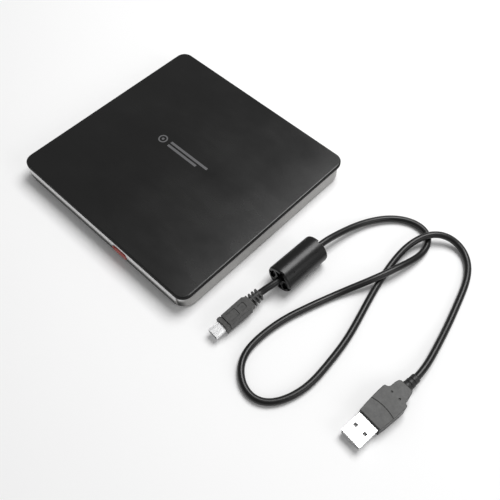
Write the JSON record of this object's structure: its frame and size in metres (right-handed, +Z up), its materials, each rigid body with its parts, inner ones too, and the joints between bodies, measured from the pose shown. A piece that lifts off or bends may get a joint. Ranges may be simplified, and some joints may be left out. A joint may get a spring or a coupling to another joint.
{
  "type": "external optical disc drive",
  "caption": "Slim external optical disc drive with a slide-out tray, disc spindle, travelling laser pickup, eject latch and a separate USB cable with a ferrite bead.",
  "frame": {"origin": "centre of the drive footprint on the plane it rests on, under the rubber foot ring", "axes": "+X to the right seen from the tray front, +Y to the back (the tray opens towards -Y), +Z up"},
  "size_m": [0.265, 0.1538, 0.017],
  "materials": {
    "lid_plastic": "satin black moulding, finely textured",
    "printed_mark": "grey pad print",
    "shell_plastic": "silver-grey painted moulding",
    "black_rubber": "matt",
    "screw_steel": "zinc plated",
    "sheet_steel": "bright rolled sheet",
    "guide_plastic": "natural acetal",
    "black_plastic": "satin",
    "board_green": "solder mask",
    "chip_black": "matt epoxy",
    "plated_steel": "nickel plated",
    "ribbon_white": "polyester film",
    "rail_steel": "rolled strip",
    "tray_plastic": "fine grained black",
    "die_cast": "die cast, unpolished",
    "rod_steel": "ground rod",
    "stator_copper": "wound copper on laminations",
    "spring_steel": "spring wire",
    "button_red": "translucent red moulding",
    "diode_brass": "gold plated",
    "lens_glass": "coated",
    "cable_vinyl": "soft vinyl, satin",
    "ferrite_ceramic": "sintered ceramic",
    "plug_vinyl": "moulded vinyl",
    "white_plastic": "white insulator",
    "plug_vinyl_grey": "moulded vinyl"
  },
  "bodies": {
    "case": {"top_cover": "lid_plastic", "lid_emblem": "printed_mark", "bottom_shell": "shell_plastic", "foot_ring": "black_rubber", "case_screws": "screw_steel", "chassis": "sheet_steel", "chassis_cover": "sheet_steel", "rail_guide_left": "guide_plastic", "rail_guide_right": "guide_plastic", "drive_connector": "black_plastic", "bridge_board": "board_green", "bridge_components": "chip_black", "board_connector": "black_plastic", "usb_port": "plated_steel", "usb_port_tongue": "black_plastic", "latch_post": "screw_steel", "ribbon_cable": "ribbon_white"},
    "rail_left": {"rail_left": "rail_steel"},
    "rail_right": {"rail_right": "rail_steel"},
    "tray": {"tray": "tray_plastic", "tray_bezel": "shell_plastic", "mechanism_cover": "sheet_steel", "main_board": "board_green", "board_chips": "chip_black", "traverse_frame": "die_cast", "damper_bushes": "black_rubber", "traverse_screws": "screw_steel", "guide_rod_main": "rod_steel", "guide_rod_aux": "rod_steel", "sled_motor": "plated_steel", "spindle_stator": "stator_copper", "eject_solenoid": "black_plastic", "latch_pivot_pin": "rod_steel", "latch_spring": "spring_steel", "eject_switch": "black_plastic", "ejector_spring": "spring_steel"},
    "eject_button": {"eject_button": "button_red"},
    "latch_lever": {"latch_lever": "guide_plastic"},
    "solenoid_plunger": {"solenoid_plunger": "rod_steel"},
    "ejector_plunger": {"ejector_plunger": "guide_plastic"},
    "spindle": {"spindle_rotor": "plated_steel", "turntable": "tray_plastic", "disc_pad": "black_rubber", "hub_claws": "guide_plastic"},
    "sled": {"pickup_body": "die_cast", "laser_diode": "diode_brass", "actuator_base": "sheet_steel", "sled_nut": "guide_plastic"},
    "lens": {"lens_holder": "black_plastic", "objective_lens": "lens_glass"},
    "lead_screw": {"lead_screw": "rod_steel"},
    "usb_cable": {"cable_jacket": "cable_vinyl", "ferrite_housing": "cable_vinyl", "ferrite_core": "ferrite_ceramic", "usb_a_overmold": "plug_vinyl", "usb_a_shell": "plated_steel", "usb_a_tongue": "white_plastic", "mini_b_overmold": "plug_vinyl_grey", "mini_b_shell": "plated_steel", "mini_b_tongue": "black_plastic"}
  },
  "joints": [
    {"name": "tray_slide", "type": "slide", "parent": "case", "child": "tray", "axis": [0, -1, 0], "range_m": [0, 0.13], "deforming": ["ribbon_cable"]},
    {"name": "rail_left_slide", "type": "slide", "parent": "case", "child": "rail_left", "axis": [0, -1, 0], "range_m": [0, 0.065]},
    {"name": "rail_right_slide", "type": "slide", "parent": "case", "child": "rail_right", "axis": [0, -1, 0], "range_m": [0, 0.065]},
    {"name": "button_press", "type": "slide", "parent": "tray", "child": "eject_button", "axis": [0, 1, 0], "range_m": [0, 0.0008], "stiffness_N_per_m": 400},
    {"name": "latch_swing", "type": "hinge", "parent": "tray", "child": "latch_lever", "pos_m": [0.0495, -0.034, 0.0044], "axis": [0, 0, 1], "range_deg": [0, 12]},
    {"name": "plunger_slide", "type": "slide", "parent": "tray", "child": "solenoid_plunger", "axis": [0, -1, 0], "range_m": [0, 0.0018]},
    {"name": "ejector_press", "type": "slide", "parent": "tray", "child": "ejector_plunger", "axis": [0, -1, 0], "range_m": [0, 0.002], "deforming": ["ejector_spring"]},
    {"name": "spindle_spin", "type": "hinge", "parent": "tray", "child": "spindle", "pos_m": [0, -0.0045, 0.008], "axis": [0, 0, 1], "continuous": true},
    {"name": "sled_travel", "type": "slide", "parent": "tray", "child": "sled", "axis": [-0.6947, -0.7193, 0], "range_m": [0, 0.035]},
    {"name": "screw_turn", "type": "hinge", "parent": "tray", "child": "lead_screw", "pos_m": [0.01244, -0.01652, 0.0056], "axis": [-0.6947, -0.7193, 0], "range_deg": [-4210, 0]},
    {"name": "lens_focus", "type": "slide", "parent": "sled", "child": "lens", "axis": [0, 0, 1], "range_m": [-0.0004, 0.0004]},
    {"name": "cable_lift", "type": "slide", "parent": "case", "child": "usb_cable", "axis": [0, 0, 1], "range_m": [0, 0.1]}
  ],
  "couplings": [
    {"joint": "rail_left_slide", "follows": "tray_slide", "ratio": 0.5},
    {"joint": "rail_right_slide", "follows": "tray_slide", "ratio": 0.5},
    {"joint": "screw_turn", "follows": "sled_travel", "rad_per_m": -2094.4},
    {"joint": "latch_swing", "follows": "plunger_slide", "rad_per_m": 116.3}
  ]
}
